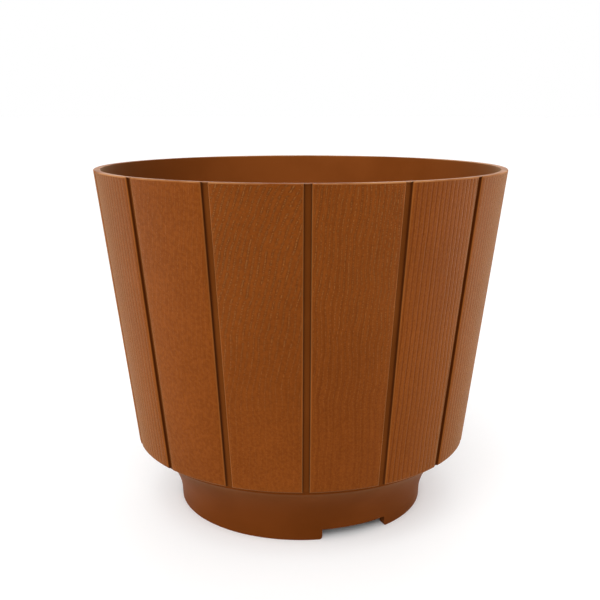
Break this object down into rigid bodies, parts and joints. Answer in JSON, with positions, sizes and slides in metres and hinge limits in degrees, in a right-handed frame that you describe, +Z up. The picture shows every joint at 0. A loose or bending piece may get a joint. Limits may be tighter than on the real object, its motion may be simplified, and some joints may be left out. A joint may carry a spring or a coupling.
{
  "type": "plastic flower pot",
  "caption": "Round tapered plastic flower pot with moulded wood-grain staves, a flat rim, a flared foot with drainage notches, a lift-out drainage grid and pull-out drain plugs.",
  "frame": {"origin": "centre of the foot, on the ground", "axes": "+Z up along the pot's axis; -Y is the front, where one groove faces; +X to the right"},
  "size_m": [0.3998, 0.3996, 0.337],
  "materials": {
    "stave_plastic": "satin with embossed grain",
    "foot_plastic": "smooth satin",
    "screw_steel": "zinc plated",
    "grid_plastic": "matte",
    "plug_rubber": "matte"
  },
  "bodies": {
    "pot": {"stave_shell": "stave_plastic", "foot_ring": "foot_plastic", "foot_screws": "screw_steel"},
    "grid": {"drain_grid": "grid_plastic"},
    "plug_1": {"drain_plug_1": "plug_rubber"},
    "plug_2": {"drain_plug_2": "plug_rubber"},
    "plug_3": {"drain_plug_3": "plug_rubber"}
  },
  "joints": [
    {"name": "grid_lift", "type": "slide", "parent": "pot", "child": "grid", "axis": [0, 0, 1], "range_m": [0, 0.27]},
    {"name": "plug_1_pull", "type": "slide", "parent": "pot", "child": "plug_1", "axis": [0, 0, -1], "range_m": [0, 0.03]},
    {"name": "plug_2_pull", "type": "slide", "parent": "pot", "child": "plug_2", "axis": [0, 0, -1], "range_m": [0, 0.03]},
    {"name": "plug_3_pull", "type": "slide", "parent": "pot", "child": "plug_3", "axis": [0, 0, -1], "range_m": [0, 0.03]}
  ]
}
